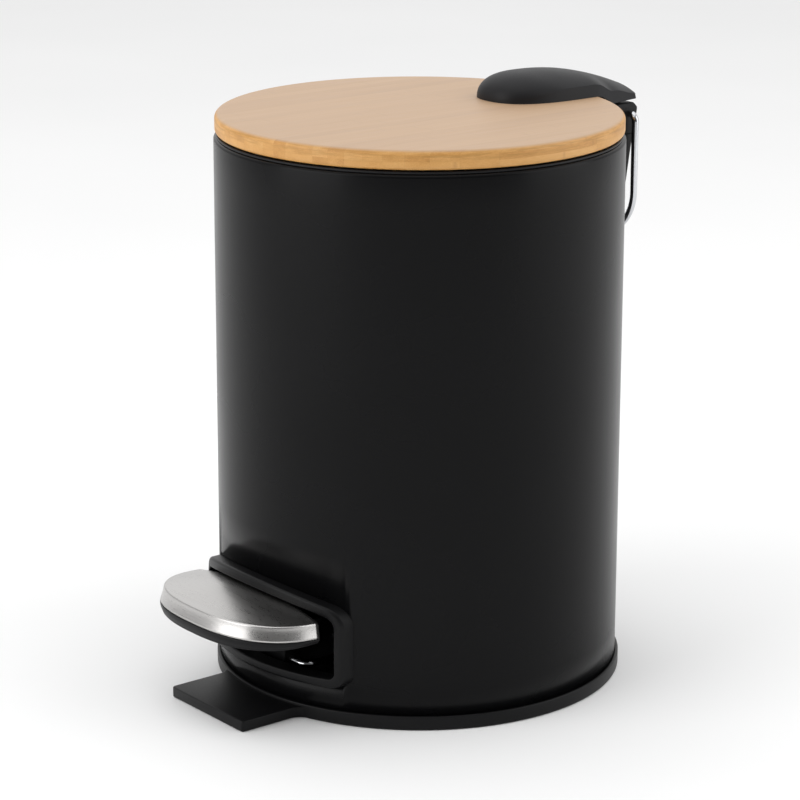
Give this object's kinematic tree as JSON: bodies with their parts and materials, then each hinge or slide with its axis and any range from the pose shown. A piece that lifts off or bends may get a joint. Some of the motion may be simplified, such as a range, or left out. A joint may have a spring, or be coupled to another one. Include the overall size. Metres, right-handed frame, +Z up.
{
  "type": "pedal trash can",
  "caption": "Round pedal trash can: black steel can, bamboo lid on a rear hinge, foot pedal with push rod, inner bucket and wire carrying handle.",
  "frame": {"origin": "centre of the base's flat resting face, on the can's axis", "axes": "+Z up along the can's axis, -Y forward towards the pedal, +X to the pedal's left as it is used"},
  "size_m": [0.1728, 0.2256, 0.2495],
  "materials": {
    "black_steel": "satin powder coat",
    "zinc_steel": "zinc plated sheet",
    "black_plastic": "fine moulded matte",
    "screw_steel": "bright zinc",
    "spring_steel": "blackened spring steel",
    "natural_plastic": "unpigmented moulded plastic",
    "damper_plastic": "dark moulded plastic",
    "bucket_plastic": "moulded polypropylene",
    "chrome_wire": "bright plated wire",
    "stainless_steel": "brushed",
    "bamboo": "sanded and oiled strips",
    "rubber": "soft matte",
    "bracket_plastic": "glass filled plastic"
  },
  "bodies": {
    "can": {"body_shell": "black_steel", "body_floor": "zinc_steel", "plastic_base": "black_plastic", "base_screws": "screw_steel", "pedal_bezel": "black_plastic", "pivot_bracket": "zinc_steel", "bracket_rivets": "screw_steel", "pivot_pin": "screw_steel", "pivot_clip": "spring_steel", "rod_channel": "zinc_steel", "rod_guides": "natural_plastic", "hinge_housing": "black_plastic", "housing_screws": "screw_steel", "hinge_pin": "screw_steel", "damper_cup": "damper_plastic", "inner_bucket": "bucket_plastic"},
    "lid": {"lid_disc": "bamboo", "lid_liner": "black_plastic", "liner_screws": "screw_steel", "lid_bumpers": "rubber", "lid_bracket": "bracket_plastic", "lid_screws": "screw_steel", "damper_rotor": "natural_plastic", "hinge_cover": "black_plastic"},
    "pedal": {"pedal_cap": "stainless_steel", "pedal_tray": "black_plastic", "pedal_lever": "chrome_wire"},
    "rod": {"push_rod": "chrome_wire", "rod_foot": "damper_plastic"},
    "handle": {"carry_handle": "chrome_wire"},
    "bucket_bail": {"bucket_handle": "chrome_wire"}
  },
  "joints": [
    {"name": "lid_hinge", "type": "hinge", "parent": "can", "child": "lid", "pos_m": [0, 0.1027, 0.228], "axis": [-1, 0, 0], "range_deg": [0, 80]},
    {"name": "pedal_hinge", "type": "hinge", "parent": "can", "child": "pedal", "pos_m": [0, -0.012, 0.014], "axis": [1, 0, 0], "range_deg": [0, 10.6]},
    {"name": "rod_slide", "type": "slide", "parent": "can", "child": "rod", "axis": [0, 0, 1], "range_m": [0, 0.01672]},
    {"name": "handle_swing", "type": "hinge", "parent": "can", "child": "handle", "pos_m": [0, 0.1027, 0.228], "axis": [1, 0, 0], "range_deg": [0, 125]},
    {"name": "bucket_bail_swing", "type": "hinge", "parent": "can", "child": "bucket_bail", "pos_m": [0, 0, 0.221], "axis": [1, 0, 0], "range_deg": [-78, 78]}
  ],
  "couplings": [
    {"joint": "pedal_hinge", "follows": "lid_hinge", "ratio": 0.1322},
    {"joint": "rod_slide", "follows": "lid_hinge", "m_per_rad": 0.011962}
  ]
}
